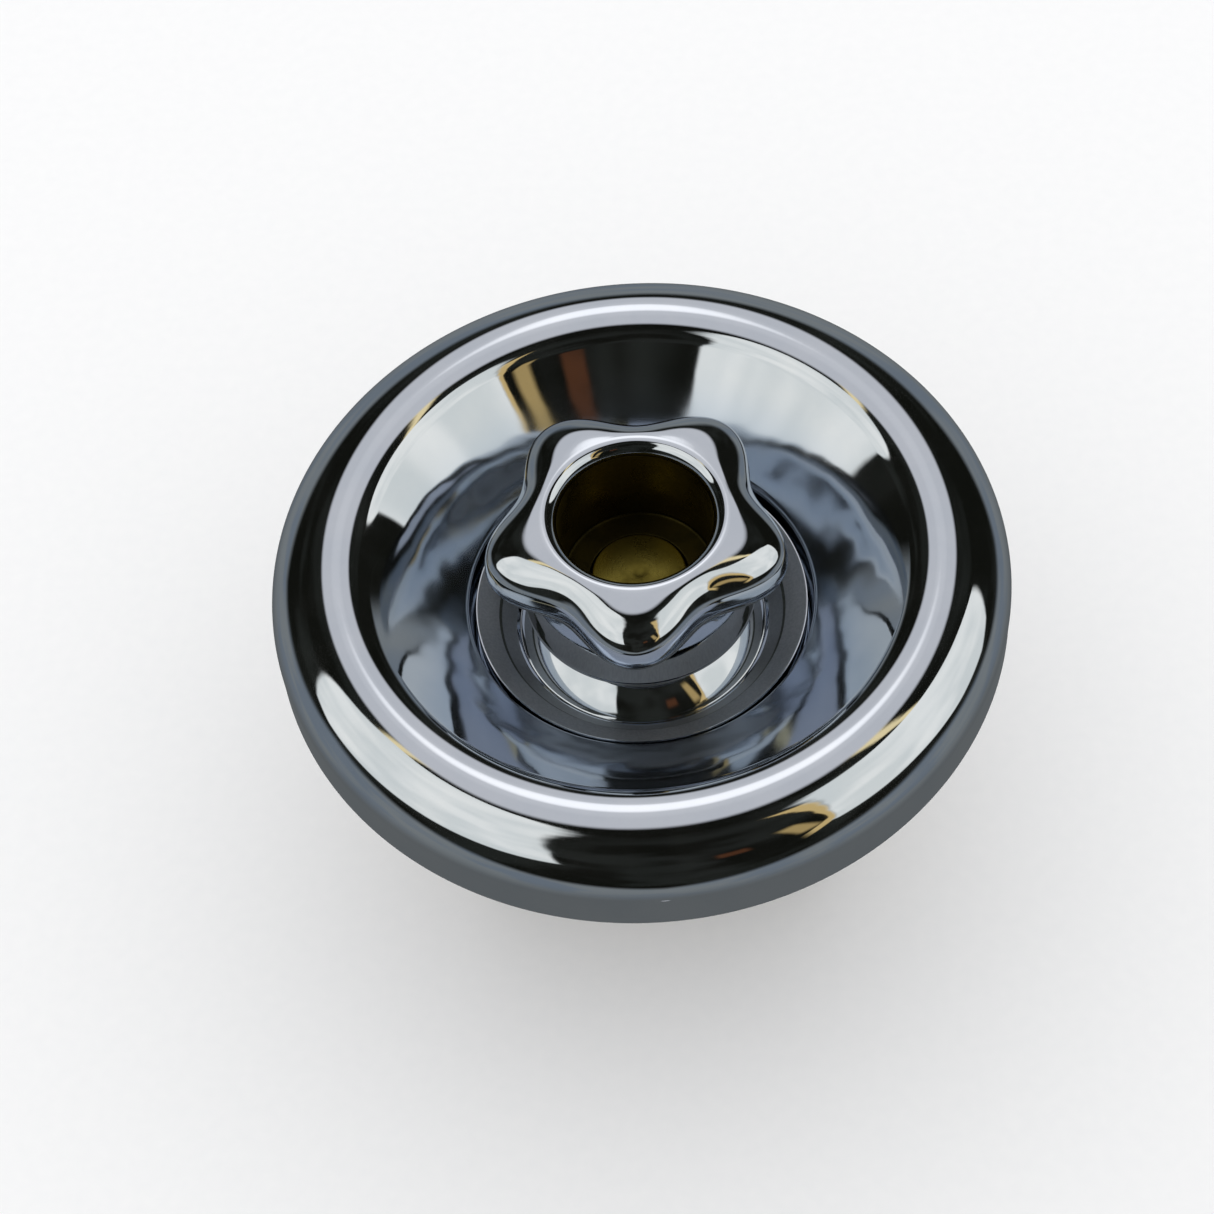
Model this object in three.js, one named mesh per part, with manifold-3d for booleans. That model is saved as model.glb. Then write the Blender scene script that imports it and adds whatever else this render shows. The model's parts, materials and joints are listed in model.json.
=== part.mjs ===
// Recessed water stop valve: a jumper-type stop tap whose body sits inside the wall, with a
// chromed dish flange, a retaining collar and a five-lobed handle in front of the wall.
// Millimetres, +Z along the spindle towards the user. Heights in the piece functions are
// measured from the wall face; the whole valve is then lifted so that its base pad is at z = 0.
import * as THREE from 'three';
import { mergeVertices } from 'three/addons/utils/BufferGeometryUtils.js';
import Module from 'manifold-3d';

const wasm = await Module();
wasm.setup();

// ---- driving dimensions -------------------------------------------------------------------
const WALL_Z = 62;              // wall face above the base pad
const GAP = 0.3;                // clearance between touching pieces

const FLANGE_R = 55;            // outer radius of the dish flange
const SHEET = 1.5;              // wall of the flange shell
const CREST_R = 45.4;           // radius of the rim's highest ring
const CREST_Z = 13.1;           // height of the rim
const DISH_SLOPE = 40;          // degrees, slope of the dish cone
const WELL_R = 25.8;            // radius of the well at the bottom of the dish
const WELL_Z = -7;              // floor of the well
const FLANGE_HOLE_R = 14.5;

const COLLAR_NECK_R = 14.2;     // neck of the collar, inside the handle's skirt
const COLLAR_NECK_TOP = 1.6;
const COLLAR_TUBE_R = 14.2;     // threaded tube below the collar
const COLLAR_BORE_R = 13.3;

const LOBES = 5;
const HANDLE_BORE_R = 11.4;     // open bore in the top of the handle
const HANDLE_FLOOR = 5.5;
const HANDLE_TOP = 21.5;
const HUB_HOLE_R = 7.4;

const SHAFT_R = 4.1;            // plain part of the spindle
const THREAD_R = 6;             // threaded part of the spindle
const SPLINE_R = 3.9;
const STEM_R = 3;               // stem of the jumper valve
const LIFT = 5;                 // rise of the spindle from shut to fully open

const BARREL_R = 9.5;           // bonnet barrel
const CHAMBER_R = 10.5;         // chamber above the seat
const SEAT_TOP = -43.2;
const PORT_Z = -47;             // centre line of the two pipe ports
const PIPE_BORE_R = 7.7;        // takes a 15 mm pipe
const ARM_R = 10.4;
const ARM_END = 24;
const NUT_FLATS = 24;           // spanner size of the compression nuts
const NUT_START = 18;
const NUT_END = 32;
const PAD = 30;                 // side of the square base pad

// ---- materials ----------------------------------------------------------------------------
const finish = (color, roughness, metalness) => (
  new THREE.MeshStandardMaterial({ color, roughness, metalness })
);
const CHROME = finish(0xd4d8dc, 0.06, 1);
const BRASS = finish(0x8a6a2c, 0.3, 1);
const CAST_BRASS = finish(0x9a7a3a, 0.55, 1);
const STEEL = finish(0x9a9ea2, 0.3, 1);
const RUBBER = finish(0x18181a, 0.8, 0);
const FIBRE = finish(0x7a2418, 0.85, 0);
const PACKING = finish(0xd8d6cc, 0.7, 0);
const FOAM = finish(0x2b2c2e, 0.95, 0);

// ---- helpers ------------------------------------------------------------------------------
const FULL_TURN = 2 * Math.PI;

// Points along an ellipse in the (radius, height) plane, both ends included.
function arc(centreR, centreZ, radiusR, radiusZ, fromDeg, toDeg, steps) {
  const points = [];
  for (let i = 0; i <= steps; i += 1) {
    const angle = THREE.MathUtils.degToRad(fromDeg + ((toDeg - fromDeg) * i) / steps);
    points.push([centreR + radiusR * Math.cos(angle), centreZ + radiusZ * Math.sin(angle)]);
  }
  return points;
}

// Turns a closed (radius, height) outline about the Z axis; either winding is accepted.
function revolve(outline, segments = 20) {
  const points = outline.map(([r, z]) => new THREE.Vector2(r, z));
  if (THREE.ShapeUtils.area(points) < 0) points.reverse();
  const onAxis = points.findIndex((p, i) => p.x === 0 && points[(i + 1) % points.length].x === 0);
  if (onAxis >= 0) {
    const start = (onAxis + 1) % points.length;
    points.push(...points.splice(0, start));
  } else {
    points.push(points[0].clone());
  }
  return new THREE.LatheGeometry(points, segments).rotateX(Math.PI / 2);
}

const ring = (innerR, outerR, low, high, segments) => (
  revolve([[innerR, low], [outerR, low], [outerR, high], [innerR, high]], segments)
);

const disc = (radius, low, high, segments) => (
  revolve([[0, low], [radius, low], [radius, high], [0, high]], segments)
);

const hexPrism = (flats, low, high) => (
  new THREE.CylinderGeometry(flats / Math.sqrt(3), flats / Math.sqrt(3), high - low, 6)
    .rotateX(Math.PI / 2)
    .translate(0, 0, (low + high) / 2)
);

// Hexagon with both rims chamfered, as a solid.
function chamferedHex(flats, low, high, chamfer = 0.9) {
  const cornerR = flats / Math.sqrt(3);
  const turned = revolve([
    [0, low], [cornerR - chamfer, low], [cornerR + 0.1, low + chamfer * 0.7],
    [cornerR + 0.1, high - chamfer * 0.7], [cornerR - chamfer, high], [0, high],
  ], 24);
  return solid(hexPrism(flats, low, high)).intersect(solid(turned));
}

// Closed geometry to a solid that can be joined and cut.
function solid(geometry) {
  const bare = geometry.clone();
  bare.deleteAttribute('normal');
  bare.deleteAttribute('uv');
  const merged = mergeVertices(bare, 1e-5);
  const index = merged.index.array;
  const triangles = [];
  for (let i = 0; i < index.length; i += 3) {
    const [a, b, c] = [index[i], index[i + 1], index[i + 2]];
    if (a !== b && b !== c && a !== c) triangles.push(a, b, c);
  }
  return new wasm.Manifold(new wasm.Mesh({
    numProp: 3,
    vertProperties: new Float32Array(merged.attributes.position.array),
    triVerts: new Uint32Array(triangles),
  }));
}

function geometryOf(shape) {
  const mesh = shape.getMesh();
  const geometry = new THREE.BufferGeometry();
  geometry.setAttribute('position', new THREE.BufferAttribute(new Float32Array(mesh.vertProperties), 3));
  geometry.setIndex(new THREE.BufferAttribute(new Uint32Array(mesh.triVerts), 1));
  geometry.computeVertexNormals();
  return geometry;
}

const group = new THREE.Group();
const valve = new THREE.Group();
valve.position.z = WALL_Z;
group.add(valve);

function piece(name, geometry, material, parent = valve) {
  const mesh = new THREE.Mesh(geometry, material);
  mesh.name = name;
  parent.add(mesh);
}

// ---- trim in front of the wall ------------------------------------------------------------
// Pressed dish: flat foot, rolled rim, straight cone and a cylindrical well with a pierced floor.
function dishFlange() {
  const inner = { r: 6.5, z: 3.2 };
  const outer = { r: FLANGE_R - 0.05 - CREST_R, z: 7.1 };
  const shoulderZ = CREST_Z - outer.z;
  const innerZ = CREST_Z - inner.z;
  const slope = Math.tan(THREE.MathUtils.degToRad(DISH_SLOPE));
  const coneTop = 180 - THREE.MathUtils.radToDeg(Math.atan(inner.z / (inner.r * slope)));
  const mouthR = WELL_R + 1.4;
  const topSide = [
    [FLANGE_R, 0],
    ...arc(CREST_R, shoulderZ, outer.r, outer.z, 0, 90, 6),
    ...arc(CREST_R, innerZ, inner.r, inner.z, 90, coneTop, 3).slice(1),
  ];
  const [coneR, coneZ] = topSide[topSide.length - 1];
  const mouthZ = coneZ - (coneR - mouthR) * slope;
  topSide.push([mouthR, mouthZ], [WELL_R + 0.3, mouthZ - 2], [WELL_R, WELL_Z], [FLANGE_HOLE_R, WELL_Z]);
  const underSide = [
    [FLANGE_HOLE_R, WELL_Z - SHEET],
    [WELL_R + SHEET, WELL_Z - SHEET],
    [WELL_R + SHEET + 0.3, mouthZ - 2.4],
    [mouthR + SHEET * 0.75, mouthZ - SHEET * 0.8],
    ...arc(CREST_R, innerZ, inner.r - SHEET, inner.z - SHEET, coneTop, 90, 2),
    ...arc(CREST_R, shoulderZ, outer.r - SHEET, outer.z - SHEET, 90, 0, 4).slice(1),
    [FLANGE_R - SHEET, 0],
  ];
  return revolve([...topSide, ...underSide], 48);
}

// Screw-on collar that clamps the flange: dished washer, low boss with a neck, threaded tube.
function retainingCollar() {
  const washerR = WELL_R - 0.6;
  const under = WELL_Z + GAP;
  return revolve([
    [COLLAR_BORE_R, -15],
    [COLLAR_TUBE_R, -15],
    [COLLAR_TUBE_R, under],
    [washerR, under],
    [washerR, -1],
    [washerR - 0.3, -0.8],
    [21.7, -3.1],
    [21.4, -3.6],
    [19.3, -5.6],
    [18.6, -5.95],
    [17.2, -5],
    [15.8, -4],
    [COLLAR_NECK_R, -3.05],
    [COLLAR_NECK_R, COLLAR_NECK_TOP],
    [COLLAR_NECK_R - 0.7, COLLAR_NECK_TOP],
    [COLLAR_NECK_R - 0.7, -6.9],
    [COLLAR_BORE_R, -7.6],
  ], 32);
}

// Five-lobed handle. Each outline point is given between two lobes and at the tip of a lobe.
function starHandle() {
  const bell = [[16.95, 6.6], [17.35, 2.75], [17.5, 2.35], [17.1, 2.15]];
  const hub = [[15.2, 3.3], [10.4, 3.3], [9.5, 0], [HUB_HOLE_R, 0], [HUB_HOLE_R, HANDLE_FLOOR]];
  const bore = [[HANDLE_BORE_R, HANDLE_FLOOR], [HANDLE_BORE_R, 19.6]];
  const lip = [[HANDLE_BORE_R + 0.6, 21], [HANDLE_BORE_R + 2, HANDLE_TOP]];
  const crown = [
    { valley: [14.7, 21.35], tip: [15.6, 21.4] },
    { valley: [15.6, 20.95], tip: [17.6, 21.1] },
    { valley: [17.2, 19.65], tip: [20.6, 20.15] },
    { valley: [18, 18.3], tip: [22.3, 18.7] },
    { valley: [18.2, 16.5], tip: [22.8, 16.6] },
    { valley: [17.95, 14.8], tip: [22.5, 14.75] },
    { valley: [16.7, 13.1], tip: [20.2, 13.1] },
    { valley: [16.05, 11.5], tip: [17, 11.4] },
    { valley: [16.7, 9], tip: [16.7, 9] },
  ];
  const fixed = (points) => points.map((p) => ({ valley: p, tip: p }));
  const outline = [...fixed([...bore, ...lip]), ...crown, ...fixed([...bell, ...hub])].reverse();
  const segments = 60;
  const geometry = revolve(outline.map((p) => p.valley), segments);
  const position = geometry.attributes.position;
  const rows = outline.length + 1;
  for (let i = 0; i < position.count; i += 1) {
    const { valley, tip } = outline[(i % rows) % outline.length];
    const turn = Math.floor(i / rows) / segments;
    const share = 0.5 + 0.5 * Math.cos(LOBES * turn * FULL_TURN);
    const radius = valley[0] + share * (tip[0] - valley[0]);
    const height = valley[1] + share * (tip[1] - valley[1]);
    position.setXYZ(
      i,
      radius * Math.sin(turn * FULL_TURN),
      -radius * Math.cos(turn * FULL_TURN),
      height,
    );
  }
  geometry.computeVertexNormals();
  return geometry;
}

// Brass socket pressed into the handle's hub; its plain closed end shows on the bore floor.
const SOCKET_R = HUB_HOLE_R - GAP;
const SOCKET_TOP = HANDLE_FLOOR + 0.6;
const GROOVE = { low: 0.85, high: 2.05, spindleR: 3.2, socketR: 4.8 };

function splineSocket() {
  const holeR = SPLINE_R + GAP;
  return revolve([
    [0, 4],
    [holeR, 4],
    [holeR, GROOVE.high],
    [GROOVE.socketR, GROOVE.high],
    [GROOVE.socketR, GROOVE.low],
    [holeR, GROOVE.low],
    [holeR, -1.9],
    [SOCKET_R, -1.9],
    [SOCKET_R, SOCKET_TOP - 0.3],
    [SOCKET_R - 0.3, SOCKET_TOP],
    [0, SOCKET_TOP],
  ], 20);
}

// Split spring ring that snaps between the spindle's groove and the socket's groove.
function snapRing() {
  const mouth = THREE.MathUtils.degToRad(25);
  const section = new THREE.Shape();
  section.absarc(0, 0, GROOVE.socketR - GAP, mouth, FULL_TURN - mouth, false);
  section.absarc(0, 0, GROOVE.spindleR + GAP, FULL_TURN - mouth, mouth, true);
  section.closePath();
  const depth = GROOVE.high - GROOVE.low - 2 * GAP;
  return new THREE.ExtrudeGeometry(section, { depth, bevelEnabled: false, curveSegments: 16 })
    .translate(0, 0, GROOVE.low + GAP);
}

// ---- spindle and jumper -------------------------------------------------------------------
const SPINDLE_FOOT = -37.9;
const SPINDLE_THREAD_TOP = -28;
const ORING_Z = [-21.3, -18.2];
const ORING = { ringR: 3.75, wireR: 0.42 };

function spindle() {
  const stemHoleR = STEM_R + GAP;
  const grooveR = ORING.ringR - ORING.wireR - GAP;
  const grooveHalf = ORING.wireR + GAP;
  const grooves = ORING_Z.flatMap((z) => [
    [SHAFT_R, z - grooveHalf],
    [grooveR, z - grooveHalf],
    [grooveR, z + grooveHalf],
    [SHAFT_R, z + grooveHalf],
  ]);
  return revolve([
    [0, -24],
    [stemHoleR, -24],
    [stemHoleR, SPINDLE_FOOT],
    [THREAD_R, SPINDLE_FOOT],
    [THREAD_R, SPINDLE_THREAD_TOP],
    [SHAFT_R, SPINDLE_THREAD_TOP],
    ...grooves,
    [SHAFT_R, -2.4],
    [SPLINE_R, -2.2],
    [SPLINE_R, GROOVE.low],
    [GROOVE.spindleR, GROOVE.low],
    [GROOVE.spindleR, GROOVE.high],
    [SPLINE_R, GROOVE.high],
    [SPLINE_R, 3.3],
    [SPLINE_R - 0.4, 3.7],
    [0, 3.7],
  ], 20);
}

const oRing = (z) => new THREE.TorusGeometry(ORING.ringR, ORING.wireR, 6, 20).translate(0, 0, z);

const WASHER_LOW = SEAT_TOP + GAP;
const DISC_LOW = -40.4;
const STUD_R = 1.5;

// Loose valve disc with its guide stem above and a stud below that holds the washer.
function jumperValve() {
  return revolve([
    [0, SEAT_TOP - 2.4],
    [STUD_R, SEAT_TOP - 2.4],
    [STUD_R, DISC_LOW],
    [7.2, DISC_LOW],
    [7.2, SPINDLE_FOOT - GAP - 0.4],
    [6.8, SPINDLE_FOOT - GAP],
    [STEM_R, SPINDLE_FOOT - GAP],
    [STEM_R, -25.4],
    [STEM_R - 0.5, -24.9],
    [0, -24.9],
  ], 20);
}

const jumperNut = () => geometryOf(
  solid(hexPrism(5.5, SEAT_TOP - 2, WASHER_LOW - GAP)).subtract(
    solid(disc(STUD_R + GAP, SEAT_TOP - 3, WASHER_LOW, 16)),
  ),
);

// ---- bonnet and gland ---------------------------------------------------------------------
const BONNET_FOOT = -32.8;
const BONNET_SEAT = -25.2;      // underside of the hexagon
const HEX_TOP = -18;
const BARREL_TOP = -5;
const THREAD_BORE_TOP = SPINDLE_THREAD_TOP + LIFT + 0.5;
const PACKING_FLOOR = -12;
const PACKING_R = 7;
const NECK_TOP = -27;

function bonnet() {
  const outside = solid(revolve([
    [0, BONNET_FOOT],
    [CHAMBER_R - GAP - 0.5, BONNET_FOOT],
    [CHAMBER_R - GAP, BONNET_FOOT + 0.5],
    [CHAMBER_R - GAP, -22],
    [BARREL_R, -21],
    [BARREL_R, BARREL_TOP - 0.4],
    [BARREL_R - 0.4, BARREL_TOP],
    [0, BARREL_TOP],
  ], 24));
  const bore = solid(revolve([
    [0, BONNET_FOOT - 1],
    [THREAD_R + GAP, BONNET_FOOT - 1],
    [THREAD_R + GAP, THREAD_BORE_TOP],
    [SHAFT_R + GAP, THREAD_BORE_TOP],
    [SHAFT_R + GAP, PACKING_FLOOR],
    [PACKING_R, PACKING_FLOOR],
    [PACKING_R, BARREL_TOP + 1],
    [0, BARREL_TOP + 1],
  ], 20));
  return geometryOf(outside.add(chamferedHex(27, BONNET_SEAT, HEX_TOP)).subtract(bore));
}

// Cap nut on the top of the bonnet barrel that presses the gland.
function glandNut() {
  const low = -8.6;
  const high = -2.2;
  const roof = BARREL_TOP + 0.8;
  const hollow = solid(revolve([
    [0, low - 1], [BARREL_R + GAP, low - 1], [BARREL_R + GAP, roof],
    [SHAFT_R + GAP, roof], [SHAFT_R + GAP, high + 1], [0, high + 1],
  ], 20));
  return geometryOf(chamferedHex(22, low, high, 0.8).subtract(hollow));
}

// ---- valve body and pipe connections ------------------------------------------------------
// Casting with a chamber, a seat between the two ports, and two threaded pipe arms.
function valveBody() {
  const along = (radius, from, to, z, segments = 20) => (
    solid(disc(radius, from, to, segments).rotateY(Math.PI / 2).translate(0, 0, z))
  );
  const barrel = solid(revolve([
    [0, -57], [13, -57], [15, -54], [15, -37], [14, -35], [14, NECK_TOP - 0.5],
    [13.5, NECK_TOP], [0, NECK_TOP],
  ], 24));
  const foot = solid(
    new THREE.BoxGeometry(PAD, PAD, 6).translate(0, 0, -WALL_Z + 3),
  );
  const arms = along(ARM_R, -ARM_END, ARM_END, PORT_Z);
  const shoulders = along(12, -16.5, 16.5, PORT_Z, 8);
  const chamber = solid(revolve([
    [0, -51], [5.5, -51], [5.5, SEAT_TOP - 2.1], [7.9, SEAT_TOP - 2.1], [7.9, SEAT_TOP - GAP],
    [CHAMBER_R, SEAT_TOP - GAP], [CHAMBER_R, NECK_TOP + 1], [0, NECK_TOP + 1],
  ], 24));
  const pipeEnd = 12;
  const inlet = along(PIPE_BORE_R, -ARM_END - 1, -pipeEnd, PORT_Z, 16);
  const outlet = along(PIPE_BORE_R, pipeEnd, ARM_END + 1, PORT_Z, 16);
  const underSeat = along(4, -pipeEnd - 1, 2, PORT_Z - 3.2, 12);
  const overSeat = along(4, 8, pipeEnd + 1, PORT_Z + 6, 12);
  return geometryOf(
    barrel.add(foot).add(arms).add(shoulders)
      .subtract(chamber).subtract(inlet).subtract(outlet)
      .subtract(underSeat).subtract(overSeat),
  );
}

// Compression nut on a pipe arm; side is -1 for the inlet and +1 for the outlet.
function pipeNut(side) {
  const seat = ARM_END + 3.3;
  const hollow = solid(revolve([
    [0, NUT_START - 1], [ARM_R + GAP, NUT_START - 1], [ARM_R + GAP, seat],
    [PIPE_BORE_R + 0.1, seat + 0.6], [PIPE_BORE_R + 0.1, NUT_END + 1], [0, NUT_END + 1],
  ], 20));
  const nut = chamferedHex(NUT_FLATS, NUT_START, NUT_END).subtract(hollow);
  return geometryOf(nut).rotateY((side * Math.PI) / 2).translate(0, 0, PORT_Z);
}

// Brass olive squeezed between the arm and the nut.
function olive(side) {
  const low = ARM_END + GAP;
  const high = ARM_END + 3;
  return revolve([
    [7.8, low], [8.6, low], [9.6, (low + high) / 2 - 0.4], [9.6, (low + high) / 2 + 0.4],
    [8.6, high], [7.8, high],
  ], 20).rotateY((side * Math.PI) / 2).translate(0, 0, PORT_Z);
}

// ---- assembly -----------------------------------------------------------------------------
piece('dish_flange', dishFlange(), CHROME);
piece('flange_seal', ring(49, FLANGE_R - SHEET - 0.5, 0, 4, 36), FOAM);
piece('retaining_collar', retainingCollar(), CHROME);
piece('carrier_sleeve', ring(BARREL_R + GAP, COLLAR_BORE_R - GAP, -17.5, -9, 20), BRASS);

piece('star_handle', starHandle(), CHROME);
piece('spline_socket', splineSocket(), BRASS);
piece('handle_snap_ring', snapRing(), STEEL);
piece('spindle', spindle(), BRASS);
piece('spindle_o_ring_lower', oRing(ORING_Z[0]), RUBBER);
piece('spindle_o_ring_upper', oRing(ORING_Z[1]), RUBBER);

piece('jumper_valve', jumperValve(), BRASS);
piece('jumper_washer', ring(STUD_R + GAP, 6.8, WASHER_LOW, DISC_LOW - GAP, 20), RUBBER);
piece('jumper_nut', jumperNut(), BRASS);

piece('gland_nut', glandNut(), BRASS);
piece('gland_follower', ring(SHAFT_R + GAP, PACKING_R - GAP, -8, -4.5, 20), BRASS);
piece('gland_packing', ring(SHAFT_R + GAP, PACKING_R - GAP, PACKING_FLOOR + GAP, -8.3, 20), PACKING);
piece('bonnet', bonnet(), BRASS);
piece('bonnet_washer', ring(CHAMBER_R, 13.3, NECK_TOP + GAP, BONNET_SEAT - GAP, 24), FIBRE);

piece('seat_ring', ring(5, 7.6, SEAT_TOP - 1.8, SEAT_TOP, 20), BRASS);
piece('valve_body', valveBody(), CAST_BRASS);
for (const [name, side] of [['inlet', -1], ['outlet', 1]]) {
  piece(`${name}_nut`, pipeNut(side), BRASS);
  piece(`${name}_olive`, olive(side), BRASS);
}

export default group;
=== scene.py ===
import json
import math

import bmesh
import bpy
from mathutils import Matrix, Quaternion, Vector


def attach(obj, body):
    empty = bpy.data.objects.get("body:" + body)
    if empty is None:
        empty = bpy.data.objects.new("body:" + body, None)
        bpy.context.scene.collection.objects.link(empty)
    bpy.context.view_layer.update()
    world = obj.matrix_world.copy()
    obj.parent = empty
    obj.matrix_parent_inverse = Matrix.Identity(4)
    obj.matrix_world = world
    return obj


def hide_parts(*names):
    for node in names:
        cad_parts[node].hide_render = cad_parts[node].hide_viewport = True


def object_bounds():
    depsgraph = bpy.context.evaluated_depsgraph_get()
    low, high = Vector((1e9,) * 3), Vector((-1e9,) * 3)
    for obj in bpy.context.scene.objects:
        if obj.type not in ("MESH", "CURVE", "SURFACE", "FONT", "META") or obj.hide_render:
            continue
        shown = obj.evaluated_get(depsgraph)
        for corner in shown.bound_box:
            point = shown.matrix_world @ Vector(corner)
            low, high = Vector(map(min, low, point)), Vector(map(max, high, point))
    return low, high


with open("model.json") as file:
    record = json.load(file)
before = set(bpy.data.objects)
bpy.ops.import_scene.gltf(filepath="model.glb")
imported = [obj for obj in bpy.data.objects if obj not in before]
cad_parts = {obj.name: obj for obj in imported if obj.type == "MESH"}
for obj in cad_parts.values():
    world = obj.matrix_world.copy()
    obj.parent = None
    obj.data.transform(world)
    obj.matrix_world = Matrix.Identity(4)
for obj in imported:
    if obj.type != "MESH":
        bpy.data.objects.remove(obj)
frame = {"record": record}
cad_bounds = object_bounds()

# ---- sizes, in millimetres unless a name says otherwise ------------------------------------
MM = 0.001
TURN = 2 * math.pi
SHARP_DEG = 35.0                                   # edges over this angle stay sharp
MOUNTS = {mount["name"]: mount for mount in frame["record"]["mounts"]}
WALL_Z = MOUNTS["wall_face"]["pos_m"][2] / MM      # wall face above the floor

FLANGE_R = 55.0
SHEET = 1.5
CREST_R = 45.4
CREST_Z = 13.1
DISH_SLOPE = 40.0
WELL_R = 25.8
WELL_Z = -7.0
FLANGE_HOLE_R = 14.5

LOBES = 5
HANDLE_BORE_R = 11.4
HANDLE_FLOOR = 5.5
BORE_BRASS_TOP = 19.7
HANDLE_TOP = 21.5
HANDLE_LIP_Z = 19.6                                # where the rounded lip of the bore starts
HUB_HOLE_R = 7.4

WASHER_R = WELL_R - 0.6                            # outer edge of the collar's washer face
SATIN_OUTER_R = WELL_R - 0.85                      # the blasted finish lies between these radii; inward of the step it is darkened as painted shade
SATIN_INNER_R = 19.2
SATIN_LOW_Z = -5.95
STEP_OUTER_R = 21.8                                # the step between the washer's two cones, painted near-black as shade
STEP_INNER_R = 21.35

PORT_Z = -47.0
SEAT_TOP = -43.2
NECK_TOP = -27.0
PIPE_BORE_R = 7.7
ARM_R = 10.4
ARM_END = 24.0
NUT_START = 18.0
NUT_END = 32.0

O_RING_Z = {"lower": -21.3, "upper": -18.2}

SPINDLE_PITCH = 2.5                                # thread pitches
PIPE_PITCH = 1.5
COLLAR_PITCH = 1.2
GLAND_PITCH = 1.0


# ---- mesh helpers --------------------------------------------------------------------------
def arc(centre_r, centre_z, radius_r, radius_z, from_deg, to_deg, steps):
    """Points along an ellipse in the (radius, height) plane, both ends included."""
    points = []
    for i in range(steps + 1):
        angle = math.radians(from_deg + (to_deg - from_deg) * i / steps)
        points.append((centre_r + radius_r * math.cos(angle), centre_z + radius_z * math.sin(angle)))
    return points


def rounded(points, radius, steps=5, closed=True):
    """The outline with its corners rounded. A point may carry its own radius as a third value."""
    out = []
    count = len(points)
    for i, point in enumerate(points):
        here = Vector(point[:2])
        size = point[2] if len(point) > 2 else radius
        if size <= 0 or (not closed and i in (0, count - 1)):
            out.append((here.x, here.y))
            continue
        before = Vector(points[i - 1][:2]) - here
        after = Vector(points[(i + 1) % count][:2]) - here
        angle = before.angle(after, math.pi)
        if angle > math.radians(176):
            out.append((here.x, here.y))
            continue
        setback = min(size / math.tan(angle / 2), before.length * 0.48, after.length * 0.48)
        start = here + before.normalized() * setback
        end = here + after.normalized() * setback
        for k in range(steps + 1):
            t = k / steps
            spot = start * (1 - t) ** 2 + here * 2 * t * (1 - t) + end * t ** 2
            out.append((spot.x, spot.y))
    return out


def spline(points, steps):
    """A smooth curve through the points, which may have any number of coordinates."""
    out = []
    last = len(points) - 1
    for i in range(last):
        p0 = Vector(points[max(i - 1, 0)])
        p1 = Vector(points[i])
        p2 = Vector(points[i + 1])
        p3 = Vector(points[min(i + 2, last)])
        for k in range(steps):
            t = k / steps
            spot = 0.5 * (2 * p1 + (p2 - p0) * t + (2 * p0 - 5 * p1 + 4 * p2 - p3) * t ** 2
                          + (3 * p1 - p0 - 3 * p2 + p3) * t ** 3)
            out.append(tuple(spot))
    out.append(tuple(points[last]))
    return out


def mesh_object(name, bm):
    """A smooth-shaded object from a bmesh, with its sharp edges kept."""
    bmesh.ops.recalc_face_normals(bm, faces=bm.faces)
    mesh = bpy.data.meshes.new(name)
    bm.to_mesh(mesh)
    bm.free()
    for polygon in mesh.polygons:
        polygon.use_smooth = True
    mesh.set_sharp_from_angle(angle=math.radians(SHARP_DEG))
    obj = bpy.data.objects.new(name, mesh)
    bpy.context.scene.collection.objects.link(obj)
    return obj


def loft(name, rows, segments, base_z=WALL_Z, axis_turn=None):
    """Turns a closed outline about Z. A row is (radius, height) or a function of the angle."""
    bm = bmesh.new()
    rings = []
    for row in rows:
        ring = []
        at = row if callable(row) else None
        if at is None and row[0] <= 1e-6:
            ring = [bm.verts.new((0, 0, (row[1] + base_z) * MM))] * segments
        else:
            for i in range(segments):
                angle = TURN * i / segments
                r, z = at(angle) if at else row
                ring.append(bm.verts.new(
                    (r * math.sin(angle) * MM, -r * math.cos(angle) * MM, (z + base_z) * MM)))
        rings.append(ring)
    for low, high in zip(rings, rings[1:] + rings[:1]):
        for i in range(segments):
            j = (i + 1) % segments
            corners = []
            for vert in (low[i], low[j], high[j], high[i]):
                if vert not in corners:
                    corners.append(vert)
            if len(corners) > 2:
                bm.faces.new(corners)
    if axis_turn:
        bmesh.ops.transform(bm, matrix=axis_turn, verts=bm.verts)
    return mesh_object(name, bm)


def thread_rows(radius, depth, low, high, pitch, inward=False, per_pitch=10):
    """Rows of a screw thread between two heights, fading out at both ends."""
    count = max(4, int((high - low) / pitch * per_pitch))
    rows = []
    for k in range(count + 1):
        z = low + (high - low) * k / count
        fade = min(1.0, (z - low) / (0.8 * pitch), (high - z) / (0.8 * pitch))

        def row(angle, z=z, fade=max(fade, 0.0)):
            phase = (z / pitch - angle / TURN) % 1.0
            tooth = min(1.0, max(0.0, 1.6 * abs(2 * phase - 1) - 0.3))
            cut = depth * (1 - tooth * fade)
            return (radius + cut if inward else radius - cut, z)

        rows.append(row)
    return rows


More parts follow.
